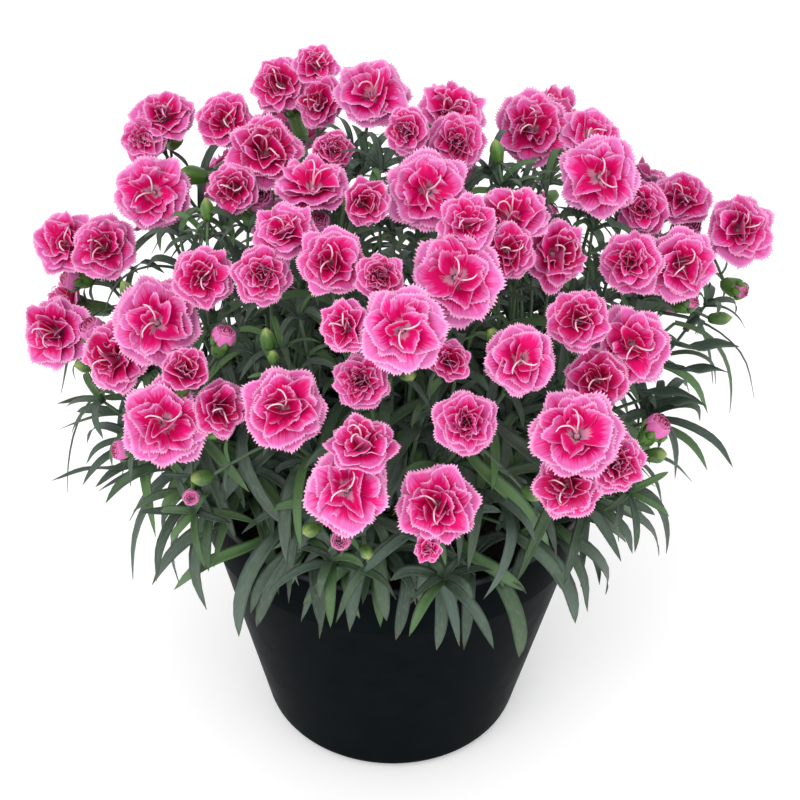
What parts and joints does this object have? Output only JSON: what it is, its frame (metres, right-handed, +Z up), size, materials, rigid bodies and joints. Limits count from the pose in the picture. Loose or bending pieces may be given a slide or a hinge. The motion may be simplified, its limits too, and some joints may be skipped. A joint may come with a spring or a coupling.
{
  "type": "dianthus plant in a pot",
  "caption": "Mound of double pink dianthus blooms over narrow grey-green leaves, planted in a round black tapered pot with a collar.",
  "frame": {"origin": "middle of the pot's flat underside", "axes": "+Z up along the pot's axis, the fuller front of the mound faces -Y, +X to its right"},
  "size_m": [0.4214, 0.403, 0.4185],
  "materials": {
    "pot": "satin black moulded plastic",
    "soil": "moist crumbly compost",
    "foliage": "matt waxy grey-green leaves and stems",
    "petals": "soft petals, deep pink in the middle and pale pink at the toothed edge"
  },
  "bodies": {
    "root": {"pot": "pot", "soil": "soil", "plant_1": "foliage", "plant_2": "foliage", "plant_3": "foliage", "plant_4": "foliage", "plant_5": "foliage", "bloom_01": "petals", "bloom_02": "petals", "bloom_03": "petals", "bloom_04": "petals", "bloom_05": "petals", "bloom_06": "petals", "bloom_07": "petals", "bloom_08": "petals", "bloom_09": "petals", "bloom_10": "petals", "bloom_11": "petals", "bloom_12": "petals", "bloom_13": "petals", "bloom_14": "petals", "bloom_15": "petals", "bloom_16": "petals", "bloom_17": "petals", "bloom_18": "petals", "bloom_19": "petals", "bloom_20": "petals", "bloom_21": "petals", "bloom_22": "petals", "bloom_23": "petals", "bloom_24": "petals", "bloom_25": "petals", "bloom_26": "petals", "bloom_27": "petals", "bloom_28": "petals", "bloom_29": "petals", "bloom_30": "petals", "bloom_31": "petals", "bloom_32": "petals", "bloom_33": "petals", "bloom_34": "petals", "bloom_35": "petals", "bloom_36": "petals", "bloom_37": "petals", "bloom_38": "petals", "bloom_39": "petals", "bloom_40": "petals", "bloom_41": "petals", "bloom_42": "petals", "bloom_43": "petals", "bloom_44": "petals", "bloom_45": "petals", "bloom_46": "petals", "bloom_47": "petals", "bloom_48": "petals", "bloom_49": "petals", "bloom_50": "petals", "bloom_51": "petals", "bloom_52": "petals", "bloom_53": "petals"}
  },
  "joints": []
}
